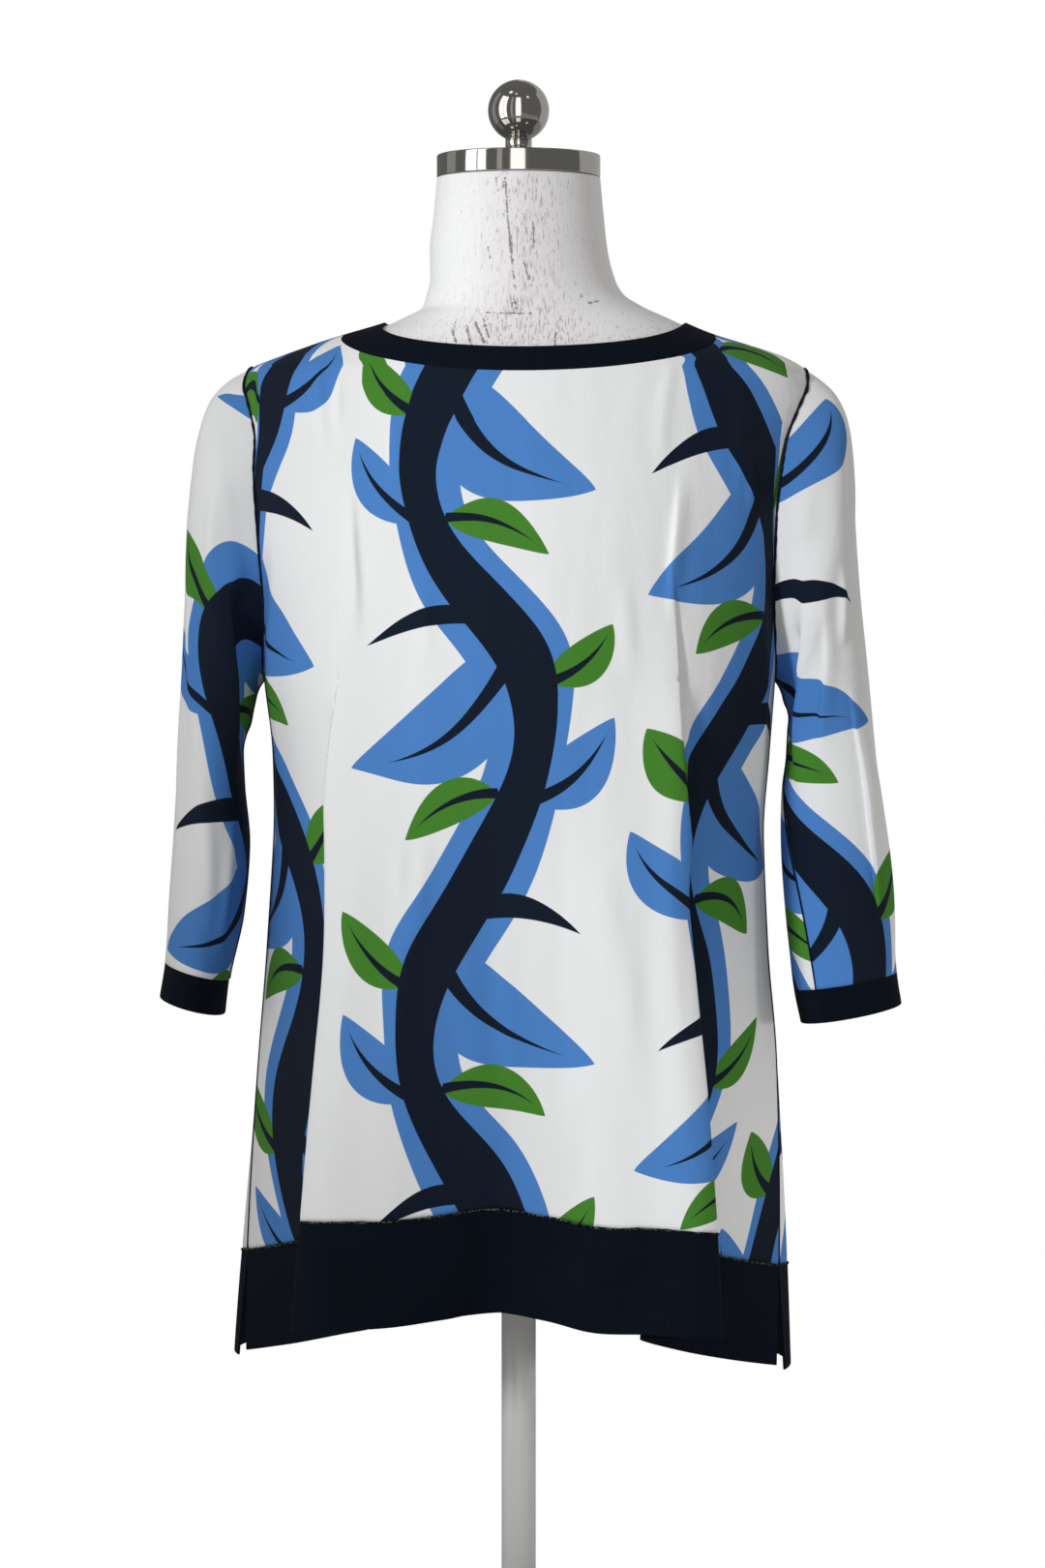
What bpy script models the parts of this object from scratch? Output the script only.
"""A tunic top on a limbless dress form, in metres, +Z up, standing on z = 0.

The front faces -Y. Heights are told as drops below the high shoulder point, where the neck band
crosses the shoulder. The tunic is a set of thin walls: front and back panels, two sleeves, and plain
bands at the neck, the cuffs and the hem. The form inside is a closed torso with its neck, a metal
neck cap and a finial, on a pole with a round base plate.
"""

import math

import bmesh
import bpy
from mathutils import Vector

# Driving dimensions
SHOULDER_Z = 0.970        # high shoulder point above the floor
WALL = 0.0015             # cloth wall of the panels and sleeves
BAND_WALL = 0.0020        # doubled cloth of the bands
SEAM = 0.0004             # gap between pieces at a seam
REST = 0.0006             # gap between the form and the neck band that rests on it
LOOSE = 0.0032            # how much further off the form the panels lie at the shoulder points
LOOSE_FROM = 0.005        # drop where that slack begins
SHOULDER_DROP = 0.0355    # armhole top
UNDERARM_DROP = 0.255
ARMHOLE_FRONT = 0.0475    # how far the armhole reaches forward of the shoulder seam
ARMHOLE_BACK = 0.0440
CORNER = 0.10             # share of a panel's width that each shoulder seam takes
SHOULDER_SPREAD = 2.9     # length along the shoulder for each unit of drop
BULGE_SPREAD = 0.45       # how fast the armhole's curve reaches across the panel on the way down
HEM_BAND = 0.073          # height of the hem band
SEAM_STRIP = 0.003        # strip along each side seam that lies square to it
STRIP_SHARE = 0.012       # share of the panel's width that the strip takes
SIDES_MEET = (0.35, 0.65) # shares between which the left side's folds give way to the right side's
SLEEVE_GAP = 0.0008       # the sleeve starts this far outside the armhole's edge
NECK_GAP = 0.0005         # gap at the neck seam, where the surface bends across it
SHOULDER_SLOPE = 0.4      # drop for each unit of length where the neck seam crosses the shoulder
SEATED_TO = 0.045         # above this drop the cloth lies on the form
FREE_FROM = 0.105         # below this drop it hangs free of it

# Neck line: drop of each edge at the shoulder and at the centre
NECK_EDGE = {"shoulder": 0.0005, "front": 0.0205, "back": 0.0060}
NECK_SEAM = {"shoulder": 0.0092, "front": 0.0385, "back": 0.0245}
NECK_ROUNDNESS = 2.0

# Dress form
NECK_TOP_DROP = -0.105
FORM_BOTTOM_DROP = 0.640
POLE_RADIUS = 0.0125
BASE_RADIUS = 0.175
BASE_THICK = 0.010
CAP_RADIUS = 0.0588
CAP_HEIGHT = 0.0160
CAP_CROWN = 0.0015
FINIAL_RADIUS = 0.0220
FINIAL_CENTRE_DROP = -0.1535
STEM_RADIUS = 0.0095
COLLAR_RADIUS = 0.0120
COLLAR_HEIGHT = 0.0025

# Horizontal sections of the form: half widths to each side, depths to front and back, roundness
FORM_COLUMNS = ("drop", "left", "right", "front", "back", "power")
FORM_ROWS = (
    (-0.1050, 0.0587, 0.0587, 0.0576, 0.0576, 2.0),
    (-0.0750, 0.0616, 0.0616, 0.0595, 0.0600, 2.0),
    (-0.0540, 0.0640, 0.0640, 0.0610, 0.0620, 2.0),
    (-0.0330, 0.0637, 0.0693, 0.0625, 0.0645, 2.0),
    (-0.0220, 0.0662, 0.0755, 0.0635, 0.0660, 2.0),
    (-0.0120, 0.0695, 0.0912, 0.0642, 0.0675, 2.0),
    (-0.0060, 0.0805, 0.1048, 0.0648, 0.0685, 2.0),
    (0.0000, 0.0935, 0.1176, 0.0655, 0.0695, 2.0),
    (0.0092, 0.1235, 0.1395, 0.0670, 0.0712, 2.0),
    (0.0150, 0.1400, 0.1560, 0.0685, 0.0725, 2.0),
    (0.0218, 0.1565, 0.1750, 0.0710, 0.0740, 2.0),
    (0.0290, 0.1735, 0.1915, 0.0735, 0.0755, 2.0),
    (0.0370, 0.1905, 0.2030, 0.0765, 0.0770, 2.0),
    (0.0480, 0.1975, 0.2075, 0.0800, 0.0790, 2.0),
    (0.0620, 0.1985, 0.2070, 0.0840, 0.0815, 2.0),
    (0.0850, 0.1950, 0.2010, 0.0895, 0.0850, 2.0),
    (0.1200, 0.1860, 0.1880, 0.0965, 0.0900, 2.0),
    (0.1800, 0.1770, 0.1790, 0.1100, 0.0960, 2.1),
    (0.2550, 0.1640, 0.1640, 0.1160, 0.0930, 2.1),
    (0.3300, 0.1470, 0.1470, 0.1080, 0.0860, 2.1),
    (0.4100, 0.1340, 0.1340, 0.0900, 0.0820, 2.1),
    (0.4900, 0.1470, 0.1470, 0.0920, 0.0950, 2.1),
    (0.5700, 0.1600, 0.1600, 0.0960, 0.1050, 2.1),
    (0.6400, 0.1580, 0.1580, 0.0940, 0.1020, 2.1),
)

# Horizontal sections of the tunic before its folds
TUNIC_COLUMNS = ("drop", "left", "right", "front", "back", "power")
TUNIC_ROWS = (
    (0.0355, 0.1995, 0.2093, 0.0820, 0.0820, 2.0),
    (0.0750, 0.2031, 0.2060, 0.0940, 0.0900, 2.1),
    (0.1200, 0.2004, 0.1975, 0.1070, 0.0980, 2.3),
    (0.1670, 0.1943, 0.1921, 0.1180, 0.1020, 2.3),
    (0.2000, 0.1885, 0.1885, 0.1230, 0.1040, 2.3),
    (0.2550, 0.1835, 0.1850, 0.1280, 0.1060, 2.3),
    (0.3100, 0.1750, 0.1800, 0.1300, 0.1080, 2.3),
    (0.3700, 0.1715, 0.1740, 0.1300, 0.1110, 2.3),
    (0.4500, 0.1735, 0.1760, 0.1300, 0.1150, 2.3),
    (0.5300, 0.1785, 0.1850, 0.1310, 0.1200, 2.3),
    (0.6300, 0.1860, 0.1910, 0.1330, 0.1260, 2.3),
    (0.7700, 0.1980, 0.1970, 0.1350, 0.1320, 2.3),
)

# Hem line seen from above, from the left seam to the right: share of the panel's width, place and drop
HEM_COLUMNS = ("name", "share", "x", "y", "drop", "steps")
FRONT_HEM = (
    ("side_left", 0.000, -0.1995, 0.0000, 0.7437, 4),
    ("corner_left", 0.100, -0.1660, -0.0380, 0.7331, 4),
    ("inner_left", 0.180, -0.1270, -0.0830, 0.7179, 2),
    ("trough_left", 0.238, -0.1060, -0.1080, 0.7094, 2),
    ("turn_left", 0.252, -0.1290, -0.1300, 0.7052, 2),
    ("crest_left", 0.265, -0.1575, -0.1540, 0.7015, 2),
    ("brow_left", 0.300, -0.1380, -0.1690, 0.6995, 2),
    ("lobe_left", 0.370, -0.0920, -0.1570, 0.7000, 2),
    ("slope_left", 0.430, -0.0520, -0.1360, 0.6980, 2),
    ("centre", 0.485, -0.0190, -0.1200, 0.6954, 2),
    ("slope_right", 0.540, 0.0180, -0.1300, 0.6997, 2),
    ("lobe_right", 0.595, 0.0520, -0.1510, 0.7045, 2),
    ("cheek_right", 0.645, 0.0910, -0.1580, 0.7046, 2),
    ("brow_right", 0.678, 0.1240, -0.1680, 0.7060, 2),
    ("crest_right", 0.700, 0.1415, -0.1550, 0.7087, 2),
    ("turn_right", 0.713, 0.1130, -0.1300, 0.7130, 2),
    ("trough_right", 0.728, 0.0870, -0.1080, 0.7170, 2),
    ("inner_right", 0.800, 0.1130, -0.0800, 0.7295, 4),
    ("corner_right", 0.900, 0.1560, -0.0370, 0.7450, 4),
    ("side_right", 1.000, 0.1890, 0.0000, 0.7550, 0),
)
BACK_HEM = (
    ("side_left", 0.000, -0.1995, 0.0000, 0.7437, 4),
    ("corner_left", 0.100, -0.2080, 0.0420, 0.7490, 5),
    ("crest_left", 0.240, -0.1560, 0.1260, 0.7460, 3),
    ("trough_left", 0.370, -0.0780, 0.1120, 0.7430, 3),
    ("centre", 0.500, -0.0080, 0.1440, 0.7420, 3),
    ("trough_right", 0.620, 0.0640, 0.1150, 0.7440, 3),
    ("crest_right", 0.760, 0.1400, 0.1300, 0.7500, 5),
    ("corner_right", 0.900, 0.1995, 0.0430, 0.7590, 4),
    ("side_right", 1.000, 0.1890, 0.0000, 0.7550, 0),
)

# How far the hem line's folds have grown on the way down from the underarm
GROWTH_COLUMNS = ("way", "left", "right")
GROWTH_ROWS = (
    (0.000, 0.00, 0.00),
    (0.124, 0.11, 0.12),
    (0.303, 0.26, 0.27),
    (0.438, 0.37, 0.40),
    (0.596, 0.52, 0.57),
    (0.798, 0.74, 0.80),
    (1.000, 1.00, 1.00),
)

# Side vents: how far each band's corner stands from the side seam's line at the hem (x outward, y, drop)
VENT_FRONT = (-0.0005, -0.0030, 0.0000)
VENT_BACK = (0.0060, 0.0060, 0.0050)
VENT_REACH = 0.10         # share of the band's width that swings out at each vent

# Sleeve sections from the armhole to the cuff: outer and inner point, half depth and middle
SLEEVE_COLUMNS = ("way", "out_x", "out_drop", "in_x", "in_drop", "depth", "y")
SLEEVE_LEFT = (
    (0.00, 0.1995, 0.0305, 0.1835, 0.2550, 0.0460, -0.0015),
    (0.08, 0.2135, 0.0392, 0.1872, 0.2600, 0.0480, -0.0015),
    (0.16, 0.2240, 0.0530, 0.1895, 0.2655, 0.0500, -0.0020),
    (0.24, 0.2310, 0.0780, 0.1910, 0.2720, 0.0510, -0.0020),
    (0.32, 0.2355, 0.1080, 0.1925, 0.2790, 0.0510, -0.0025),
    (0.40, 0.2395, 0.1480, 0.1940, 0.2870, 0.0505, -0.0030),
    (0.48, 0.2415, 0.1950, 0.1975, 0.2960, 0.0495, -0.0040),
    (0.56, 0.2428, 0.2500, 0.1995, 0.3070, 0.0485, -0.0050),
    (0.66, 0.2455, 0.3050, 0.1985, 0.3330, 0.0475, -0.0060),
    (0.76, 0.2490, 0.3600, 0.1950, 0.3720, 0.0465, -0.0070),
    (0.88, 0.2530, 0.4140, 0.1990, 0.4225, 0.0455, -0.0080),
    (1.00, 0.2557, 0.4585, 0.2095, 0.4716, 0.0445, -0.0090),
    (1.06, 0.2597, 0.4840, 0.2125, 0.4968, 0.0440, -0.0095),
)
SLEEVE_RIGHT = (
    (0.00, 0.2093, 0.0305, 0.1850, 0.2550, 0.0460, -0.0015),
    (0.08, 0.2200, 0.0385, 0.1885, 0.2600, 0.0480, -0.0015),
    (0.16, 0.2300, 0.0505, 0.1908, 0.2655, 0.0495, -0.0020),
    (0.24, 0.2378, 0.0720, 0.1925, 0.2720, 0.0500, -0.0020),
    (0.32, 0.2405, 0.1050, 0.1948, 0.2775, 0.0495, -0.0025),
    (0.40, 0.2432, 0.1450, 0.1958, 0.2835, 0.0480, -0.0030),
    (0.48, 0.2465, 0.1900, 0.1950, 0.2920, 0.0460, -0.0040),
    (0.56, 0.2515, 0.2400, 0.1940, 0.3100, 0.0435, -0.0050),
    (0.66, 0.2565, 0.2900, 0.1905, 0.3350, 0.0410, -0.0060),
    (0.76, 0.2625, 0.3480, 0.1892, 0.3680, 0.0395, -0.0070),
    (0.88, 0.2690, 0.4050, 0.1920, 0.4180, 0.0385, -0.0080),
    (1.00, 0.2737, 0.4662, 0.1993, 0.4790, 0.0380, -0.0090),
    (1.06, 0.2772, 0.4893, 0.2044, 0.5035, 0.0378, -0.0095),
)
CUFF_WAY = 1.00           # where the sleeve ends and the cuff begins
SLEEVE_END = 1.06
CUFF_HEIGHT = 0.025       # length of cloth between those two
ARMHOLE_FADE = 0.30       # the armhole's own outline has faded from the sleeve here

# How finely the walls are divided
ARMHOLE_ROWS = (0.0, 0.003, 0.02, 0.06, 0.11, 0.18, 0.27, 0.38, 0.50, 0.62, 0.74, 0.85, 0.94, 1.0)
SKIRT_ROWS = 9
BAND_ROWS = 2
NECK_BAND_ROWS = 2
SLEEVE_WAYS = (0.0, 0.04, 0.10, 0.17, 0.24, 0.32, 0.41, 0.50, 0.60, 0.70, 0.80, 0.90, 1.0)
CUFF_ROWS = 2
FORM_SIDES = 32
TURN_STEPS = 28
BALL_STEPS = 10

WHITE_CLOTH = (0.78, 0.78, 0.78)
NAVY_CLOTH = (0.005, 0.008, 0.014)
FORM_PAINT = (0.80, 0.78, 0.76)
POLISHED = (0.62, 0.60, 0.58)
STAND_PAINT = (0.80, 0.80, 0.79)


# Curves through tables

def column(names, rows, name):
    """One named column of a table."""
    at = names.index(name)
    return [row[at] for row in rows]


def slopes(keys, values):
    """Slopes of a monotone cubic: no value between two keys leaves their range."""
    steps = [(values[i + 1] - values[i]) / (keys[i + 1] - keys[i]) for i in range(len(keys) - 1)]
    inner = []
    for before, after in zip(steps, steps[1:]):
        inner.append(0.0 if before * after <= 0 else 2 * before * after / (before + after))
    return [steps[0]] + inner + [steps[-1]]


def ease(keys, values, at):
    """Value at a key between the table's rows, and the end value beyond them."""
    if at <= keys[0]:
        return values[0]
    if at >= keys[-1]:
        return values[-1]
    i = max(k for k in range(len(keys) - 1) if keys[k] <= at)
    width = keys[i + 1] - keys[i]
    t = (at - keys[i]) / width
    slope = slopes(keys, values)
    rise = values[i + 1] - values[i]
    bend_in = slope[i] * width - rise
    bend_out = rise - slope[i + 1] * width
    return values[i] + t * rise + t * (1 - t) * ((1 - t) * bend_in + t * bend_out)


def smooth_step(low, high, at):
    t = min(1.0, max(0.0, (at - low) / (high - low)))
    return t * t * (3 - 2 * t)


def mix(a, b, t):
    return a + (b - a) * t


def knots(points):
    """Centripetal parameter along a row of points, so that tight turns stay round."""
    run = [0.0]
    for a, b in zip(points, points[1:]):
        run.append(run[-1] + (b - a).length ** 0.5)
    return run


def curve_point(points, span, t):
    """Centripetal Catmull-Rom point in a span of an open row of points."""
    ends = [points[0] * 2 - points[1]] + list(points) + [points[-1] * 2 - points[-2]]
    p = ends[span:span + 4]
    k = knots(p)
    at = mix(k[1], k[2], t)
    a = [p[i].lerp(p[i + 1], (at - k[i]) / (k[i + 1] - k[i])) for i in range(3)]
    b = [a[i].lerp(a[i + 1], (at - k[i]) / (k[i + 2] - k[i])) for i in range(2)]
    return b[0].lerp(b[1], (at - k[1]) / (k[2] - k[1]))


# Sections of the form and of the tunic

def section_point(names, rows, face, share, drop):
    """Point of a horizontal section: share 0 at the -X end, 1 at the +X end, over the front or the back."""
    size = {name: ease(column(names, rows, "drop"), column(names, rows, name), drop) for name in names[1:]}
    turn = math.pi * share
    over = 2 / size["power"]
    half = size["left"] if math.cos(turn) > 0 else size["right"]
    x = -math.copysign(half * abs(math.cos(turn)) ** over, math.cos(turn))
    y = size[face] * abs(math.sin(turn)) ** over
    return Vector((x, -y if face == "front" else y, SHOULDER_Z - drop))


def form_point(face, share, drop):
    return section_point(FORM_COLUMNS, FORM_ROWS, face, share, drop)


def seated_point(face, share, drop, lift):
    """Point that lies a given distance off the form's surface, whose slope two short steps give."""
    step = 0.002
    fall = 0.0005
    along = form_point(face, min(1.0, share + step), drop) - form_point(face, max(0.0, share - step), drop)
    if share < step or share > 1 - step:
        along = Vector((0.0, -1.0 if (face == "front") == (share < 0.5) else 1.0, 0.0))
    down = form_point(face, share, drop + fall) - form_point(face, share, drop - fall)
    out = along.cross(down).normalized()
    here = form_point(face, share, drop)
    if out.dot(here - Vector((0.0, 0.0, here.z))) < 0:
        out.negate()
    return here + out * lift


def tunic_point(face, share, drop):
    """Outer surface of the tunic before its folds: on the form at the shoulders, free of it below."""
    free = smooth_step(SEATED_TO, FREE_FROM, drop)
    point = section_point(TUNIC_COLUMNS, TUNIC_ROWS, face, share, drop)
    if free < 1:
        lift = BAND_WALL + REST + LOOSE * smooth_step(LOOSE_FROM, SHOULDER_DROP, drop)
        point = seated_point(face, share, drop, lift).lerp(point, free)
    point.y += -SEAM / 2 if face == "front" else SEAM / 2
    return point


def armhole_share(face, side, way):
    """Share of the panel's width and drop of the armhole's edge; way 0 at the shoulder, 1 at the underarm."""
    drop = mix(SHOULDER_DROP, UNDERARM_DROP, way)
    reach = (ARMHOLE_FRONT if face == "front" else ARMHOLE_BACK) * (4 * way * (1 - way)) ** 0.5
    drops = column(TUNIC_COLUMNS, TUNIC_ROWS, "drop")
    depth = ease(drops, column(TUNIC_COLUMNS, TUNIC_ROWS, face), drop)
    power = ease(drops, column(TUNIC_COLUMNS, TUNIC_ROWS, "power"), drop)
    share = math.asin((reach / depth) ** (power / 2)) / math.pi
    return (share, drop) if side < 0 else (1 - share, drop)


def neck_line(edge, face, share):
    """Drop of the neck band's edge or seam."""
    return mix(edge["shoulder"], edge[face], math.sin(math.pi * share) ** NECK_ROUNDNESS)


def top_of_panel(face, share):
    """Top edge of a panel: shoulder seam, neck seam, shoulder seam."""
    if share <= CORNER:
        return 0.0, mix(SHOULDER_DROP, NECK_SEAM["shoulder"], share / CORNER)
    if share >= 1 - CORNER:
        return 1.0, mix(SHOULDER_DROP, NECK_SEAM["shoulder"], (1 - share) / CORNER)
    along = (share - CORNER) / (1 - 2 * CORNER)
    return along, neck_line(NECK_SEAM, face, along) + NECK_GAP / 2 * neck_slack(along)


def neck_slack(share):
    """The shoulder slopes gently, so a small gap there takes less drop than at the centre."""
    return mix(SHOULDER_SLOPE, 1.0, math.sin(math.pi * share))


def run_of(drop):
    """Length down the cloth: the shoulder slopes gently and the side falls straight."""
    return drop + (SHOULDER_SPREAD - 1) * min(drop, SHOULDER_DROP)


def drop_of(run):
    if run < SHOULDER_SPREAD * SHOULDER_DROP:
        return run / SHOULDER_SPREAD
    return run - (SHOULDER_SPREAD - 1) * SHOULDER_DROP


def yoke_point(face, share, way):
    """Point of a panel between its top edge and the underarm's level, bounded by both armholes."""
    top_share, top_drop = top_of_panel(face, share)
    bulge = armhole_share(face, -1, way)[0]
    reach = mix(CORNER, 1.0, way ** BULGE_SPREAD)
    across = mix(top_share, share, way)
    across += bulge * (max(0.0, 1 - share / reach) - max(0.0, 1 - (1 - share) / reach))
    return tunic_point(face, across, drop_of(mix(run_of(top_drop), run_of(UNDERARM_DROP), way)))


def hem_columns(hem, face):
    """Columns of a panel: share of the width and place of the hem line, a few for each row of its table."""
    at = list(range(len(hem)))
    shares = column(HEM_COLUMNS, hem, "share")
    places = [Vector((row[2], row[3], row[4])) for row in hem]
    found = []
    for i, row in enumerate(hem[:-1]):
        for j in range(row[5]):
            t = j / row[5]
            found.append((ease(at, shares, i + t), curve_point(places, i, t)))
    found.append((shares[-1], places[-1]))
    strip = Vector((0.0, -SEAM_STRIP if face == "front" else SEAM_STRIP, 0.0))
    found.insert(1, (STRIP_SHARE, places[0] + strip))
    found.insert(-1, (1 - STRIP_SHARE, places[-1] + strip))
    return found


def skirt_point(face, share, hem_place, way):
    """Point between the underarm and the hem edge, with the folds grown on the way down."""
    drop = mix(UNDERARM_DROP, hem_place.z, way)
    ways = column(GROWTH_COLUMNS, GROWTH_ROWS, "way")
    left = ease(ways, column(GROWTH_COLUMNS, GROWTH_ROWS, "left"), way)
    right = ease(ways, column(GROWTH_COLUMNS, GROWTH_ROWS, "right"), way)
    grown = mix(left, right, smooth_step(*SIDES_MEET, share))
    plain = tunic_point(face, share, drop)
    gap = -SEAM / 2 if face == "front" else SEAM / 2
    folded = Vector((hem_place.x, hem_place.y + gap, SHOULDER_Z - drop))
    return plain.lerp(folded, grown)


def band_start(hem_place):
    """How far down the skirt the hem band's seam lies."""
    return 1 - HEM_BAND / (hem_place.z - UNDERARM_DROP)


# Meshes from sheets of points

def new_object(name, mesh, material, group):
    piece = bpy.data.objects.new(name, mesh)
    group.objects.link(piece)
    mesh.materials.append(material)
    return piece


def sheet(name, points, wall, material, group, flip=False, closed=False):
    """An open sheet from rows of points, with its wall added on the inside."""
    rows = len(points) - 1
    columns = len(points[0]) - 1
    bm = bmesh.new()
    bmesh.ops.create_grid(bm, x_segments=columns, y_segments=rows, size=1.0)
    for vert in bm.verts:
        i = round((vert.co.x + 1) / 2 * columns)
        j = round((1 - vert.co.y) / 2 * rows)
        vert.co = points[j][i]
    if closed:
        bmesh.ops.remove_doubles(bm, verts=bm.verts, dist=1e-6)
    if flip:
        bmesh.ops.reverse_faces(bm, faces=bm.faces)
    mesh = bpy.data.meshes.new(name)
    bm.to_mesh(mesh)
    bm.free()
    mesh.shade_smooth()
    piece = new_object(name, mesh, material, group)
    solid = piece.modifiers.new("Wall", "SOLIDIFY")
    solid.thickness = wall
    solid.offset = -1.0
    return piece


def turned(name, profile, material, group, at):
    """A turned piece: the profile runs down its outer side from the axis to the axis."""
    mesh = bpy.data.meshes.new(name)
    edges = [(i, i + 1) for i in range(len(profile) - 1)]
    mesh.from_pydata([(radius, 0.0, height) for radius, height in profile], edges, [])
    piece = new_object(name, mesh, material, group)
    piece.location = at
    spin = piece.modifiers.new("Turn", "SCREW")
    spin.steps = TURN_STEPS
    spin.render_steps = TURN_STEPS
    spin.use_merge_vertices = True
    spin.merge_threshold = 0.00001
    spin.use_smooth_shade = True
    return piece


def surface(name, colour, roughness, metallic=0.0):
    """A plain finish."""
    material = bpy.data.materials.new(name)
    material.use_nodes = True
    shader = material.node_tree.nodes["Principled BSDF"]
    shader.inputs["Base Color"].default_value = (*colour, 1.0)
    shader.inputs["Roughness"].default_value = roughness
    shader.inputs["Metallic"].default_value = metallic
    material.diffuse_color = (*colour, 1.0)
    return material


# The tunic

def panel(name, face, hem, material, group):
    """Front or back panel, from the shoulder and neck seams down to the hem band's seam."""
    columns = hem_columns(hem, face)
    points = [[yoke_point(face, share, way) for share, place in columns] for way in ARMHOLE_ROWS]
    for row in range(1, SKIRT_ROWS + 1):
        line = []
        for share, place in columns:
            end = band_start(place) - SEAM / 2 / (place.z - UNDERARM_DROP)
            line.append(skirt_point(face, share, place, row / SKIRT_ROWS * end))
        points.append(line)
    return sheet(name, points, WALL, material, group, flip=(face == "back"))


def hem_band(name, face, hem, material, group):
    """Hem band of one panel; its ends stand apart from the other band's at the side vents."""
    columns = hem_columns(hem, face)
    vent = VENT_FRONT if face == "front" else VENT_BACK
    points = []
    for row in range(BAND_ROWS + 1):
        line = []
        for share, place in columns:
            start = band_start(place) + SEAM / 2 / (place.z - UNDERARM_DROP)
            point = skirt_point(face, share, place, mix(start, 1.0, row / BAND_ROWS))
            edge = min(share, 1 - share)
            open_by = (row / BAND_ROWS) * (1 - smooth_step(0.0, VENT_REACH, edge))
            side = -1 if share < 0.5 else 1
            point += Vector((side * vent[0], vent[1], -vent[2])) * open_by
            line.append(point)
        points.append(line)
    return sheet(name, points, BAND_WALL, material, group, flip=(face == "back"))


def neck_band(name, face, hem, material, group):
    """Neck band of one panel, from the neck's edge to the neck seam."""
    shares = [(share - CORNER) / (1 - 2 * CORNER) for share, place in hem_columns(hem, face)
              if CORNER - 1e-6 <= share <= 1 - CORNER + 1e-6]
    points = []
    for row in range(NECK_BAND_ROWS + 1):
        line = []
        for share in shares:
            outer = neck_line(NECK_SEAM, face, share) - NECK_GAP / 2 * neck_slack(share)
            drop = mix(neck_line(NECK_EDGE, face, share), outer, row / NECK_BAND_ROWS)
            line.append(tunic_point(face, min(1.0, max(0.0, share)), drop))
        points.append(line)
    return sheet(name, points, BAND_WALL, material, group, flip=(face == "back"))


def armhole_loop(side):
    """The armhole's edge as a closed loop: down the front and up the back."""
    front = [tunic_point("front", *armhole_share("front", side, way)) for way in ARMHOLE_ROWS]
    back = [tunic_point("back", *armhole_share("back", side, way)) for way in ARMHOLE_ROWS]
    middle = [(front[0] + back[0]) / 2]
    middle += front[1:-1] + [(front[-1] + back[-1]) / 2] + back[-2:0:-1]
    return middle + middle[:1]


def sleeve_ring(rows, side, way, angles, armhole):
    """Ring of the sleeve: an ellipse from its outer to its inner point, led in by the armhole's outline."""
    ways = column(SLEEVE_COLUMNS, rows, "way")
    size = {name: ease(ways, column(SLEEVE_COLUMNS, rows, name), way) for name in SLEEVE_COLUMNS[1:]}
    outer = Vector((side * size["out_x"], size["y"], SHOULDER_Z - size["out_drop"]))
    inner = Vector((side * size["in_x"], size["y"], SHOULDER_Z - size["in_drop"]))
    middle = (outer + inner) / 2
    arm = (outer - inner) / 2
    ring = [middle + arm * math.cos(a) + Vector((0, -size["depth"] * math.sin(a), 0)) for a in angles]
    if armhole is None:
        return ring
    lead = 1 - smooth_step(0.0, ARMHOLE_FADE, way)
    start = sleeve_ring(rows, side, 0.0, angles, None)
    shift = Vector((side * SLEEVE_GAP, 0.0, 0.0))
    return [point + (edge - first) * lead + shift for point, edge, first in zip(ring, armhole, start)]


def armhole_angles():
    down = [math.acos(1 - 2 * way) for way in ARMHOLE_ROWS]
    return down + [2 * math.pi - angle for angle in down[-2::-1]]


def sleeve(name, side, rows, material, group):
    angles = armhole_angles()
    armhole = armhole_loop(side)
    length = CUFF_WAY - SEAM / 2
    points = [sleeve_ring(rows, side, way * length, angles, armhole) for way in SLEEVE_WAYS]
    return sheet(name, points, WALL, material, group, flip=(side > 0), closed=True)


def cuff(name, side, rows, material, group):
    angles = armhole_angles()
    armhole = armhole_loop(side)
    gap = SEAM * (SLEEVE_END - CUFF_WAY) / CUFF_HEIGHT
    points = []
    for row in range(CUFF_ROWS + 1):
        way = mix(CUFF_WAY + gap, SLEEVE_END, row / CUFF_ROWS)
        points.append(sleeve_ring(rows, side, way, angles, armhole))
    return sheet(name, points, BAND_WALL, material, group, flip=(side > 0), closed=True)


# The dress form

def form_ring(drop):
    """Closed outline of the form at one height, from the -X end round the front."""
    half = FORM_SIDES // 2
    front = [form_point("front", i / half, drop) for i in range(half + 1)]
    back = [form_point("back", i / half, drop) for i in range(half - 1, 0, -1)]
    return front + back


def torso(name, material, group):
    """Neck, shoulders, chest, waist and hips in one closed body."""
    drops = [row[0] for row in FORM_ROWS]
    rings = [form_ring(drop) for drop in drops]
    bm = bmesh.new()
    loops = [[bm.verts.new(point) for point in ring] for ring in rings]
    for upper, lower in zip(loops, loops[1:]):
        for i in range(FORM_SIDES):
            j = (i + 1) % FORM_SIDES
            bm.faces.new((upper[i], lower[i], lower[j], upper[j]))
    bm.faces.new(loops[0])
    bm.faces.new(list(reversed(loops[-1])))
    mesh = bpy.data.meshes.new(name)
    bm.to_mesh(mesh)
    bm.free()
    mesh.shade_smooth()
    mesh.set_sharp_from_angle(angle=math.radians(50))
    return new_object(name, mesh, material, group)


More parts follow.
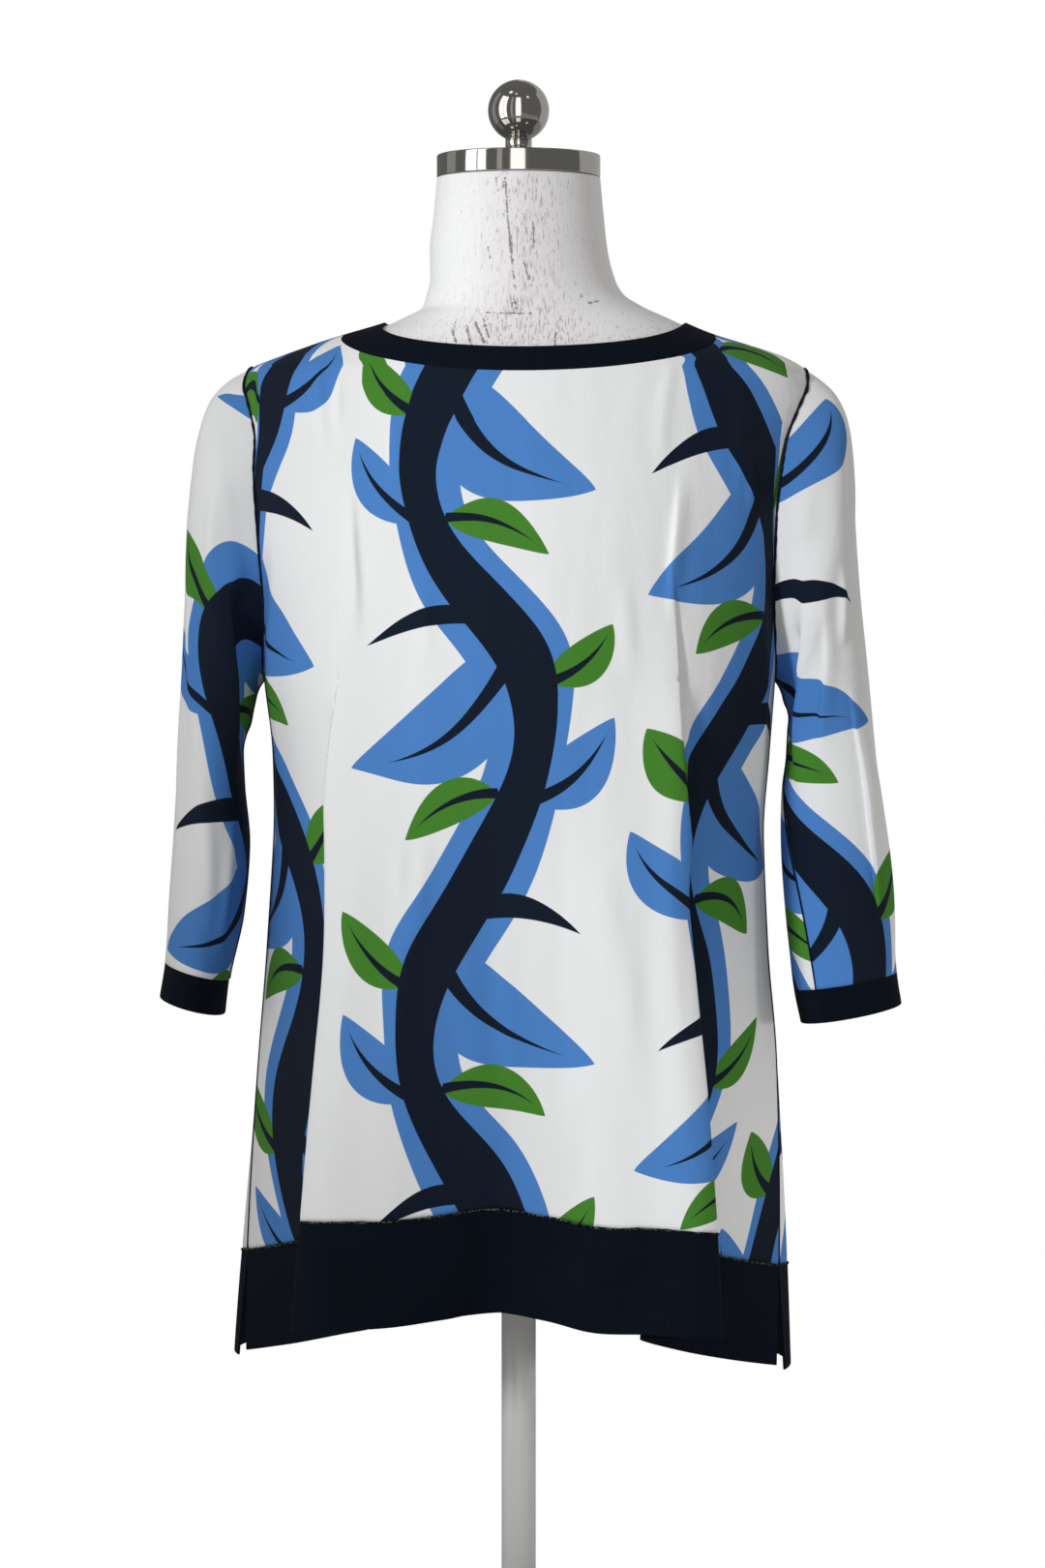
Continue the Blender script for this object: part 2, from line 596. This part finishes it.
def pole(name, material, group):
    """Straight pole from the base plate to the torso's flat bottom."""
    bottom = BASE_THICK + SEAM
    top = SHOULDER_Z - FORM_BOTTOM_DROP - SEAM
    bm = bmesh.new()
    bmesh.ops.create_cone(bm, cap_ends=True, segments=TURN_STEPS, radius1=POLE_RADIUS, radius2=POLE_RADIUS,
                          depth=top - bottom)
    mesh = bpy.data.meshes.new(name)
    bm.to_mesh(mesh)
    bm.free()
    mesh.shade_smooth()
    mesh.set_sharp_from_angle(angle=math.radians(40))
    piece = new_object(name, mesh, material, group)
    piece.location = (0.0, 0.0, (top + bottom) / 2)
    return piece


def base_plate(name, material, group):
    """Flat round plate with an eased upper edge, resting on the floor."""
    edge = 0.003
    profile = (
        (0.0, BASE_THICK),
        (BASE_RADIUS - edge, BASE_THICK),
        (BASE_RADIUS, BASE_THICK - edge),
        (BASE_RADIUS, 0.0),
        (0.0, 0.0),
    )
    return turned(name, profile, material, group, (0.0, 0.0, 0.0))


def neck_cap(name, material, group):
    """Shallow turned cap with a slightly crowned top and eased edges."""
    edge = 0.0012
    profile = (
        (0.0, CAP_HEIGHT + CAP_CROWN),
        (CAP_RADIUS * 0.45, CAP_HEIGHT + CAP_CROWN * 0.8),
        (CAP_RADIUS - edge, CAP_HEIGHT),
        (CAP_RADIUS, CAP_HEIGHT - edge),
        (CAP_RADIUS, edge),
        (CAP_RADIUS - edge, 0.0),
        (0.0, 0.0),
    )
    return turned(name, profile, material, group, (0.0, 0.0, SHOULDER_Z - NECK_TOP_DROP + SEAM))


def finial(name, material, group):
    """Ball on a short stem with a collar at its foot."""
    foot = CAP_HEIGHT + CAP_CROWN + SHOULDER_Z - NECK_TOP_DROP + 2 * SEAM
    centre = SHOULDER_Z - FINIAL_CENTRE_DROP - foot
    lowest = math.asin(STEM_RADIUS / FINIAL_RADIUS)
    profile = []
    for i in range(BALL_STEPS + 1):
        turn = (math.pi - lowest) * i / BALL_STEPS
        profile.append((FINIAL_RADIUS * math.sin(turn), centre + FINIAL_RADIUS * math.cos(turn)))
    profile += [
        (STEM_RADIUS, COLLAR_HEIGHT + 0.001),
        (COLLAR_RADIUS, COLLAR_HEIGHT),
        (COLLAR_RADIUS, 0.0),
        (0.0, 0.0),
    ]
    return turned(name, profile, material, group, (0.0, 0.0, foot))


def build():
    for piece in list(bpy.data.objects):
        bpy.data.objects.remove(piece, do_unlink=True)
    group = bpy.data.collections.new("tunic_on_dress_form")
    bpy.context.scene.collection.children.link(group)
    print_cloth = surface("printed_crepe", WHITE_CLOTH, 0.75)
    navy = surface("navy_jersey", NAVY_CLOTH, 0.8)
    paint = surface("crackled_paint", FORM_PAINT, 0.7)
    metal = surface("polished_metal", POLISHED, 0.22, 1.0)
    stand = surface("painted_stand", STAND_PAINT, 0.4)

    panel("front_panel", "front", FRONT_HEM, print_cloth, group)
    panel("back_panel", "back", BACK_HEM, print_cloth, group)
    sleeve("sleeve_left", -1, SLEEVE_LEFT, print_cloth, group)
    sleeve("sleeve_right", 1, SLEEVE_RIGHT, print_cloth, group)
    neck_band("neck_band_front", "front", FRONT_HEM, navy, group)
    neck_band("neck_band_back", "back", BACK_HEM, navy, group)
    cuff("cuff_left", -1, SLEEVE_LEFT, navy, group)
    cuff("cuff_right", 1, SLEEVE_RIGHT, navy, group)
    hem_band("hem_band_front", "front", FRONT_HEM, navy, group)
    hem_band("hem_band_back", "back", BACK_HEM, navy, group)

    torso("form_torso", paint, group)
    pole("stand_pole", stand, group)
    base_plate("stand_base", stand, group)
    neck_cap("neck_cap", metal, group)
    finial("finial", metal, group)


build()
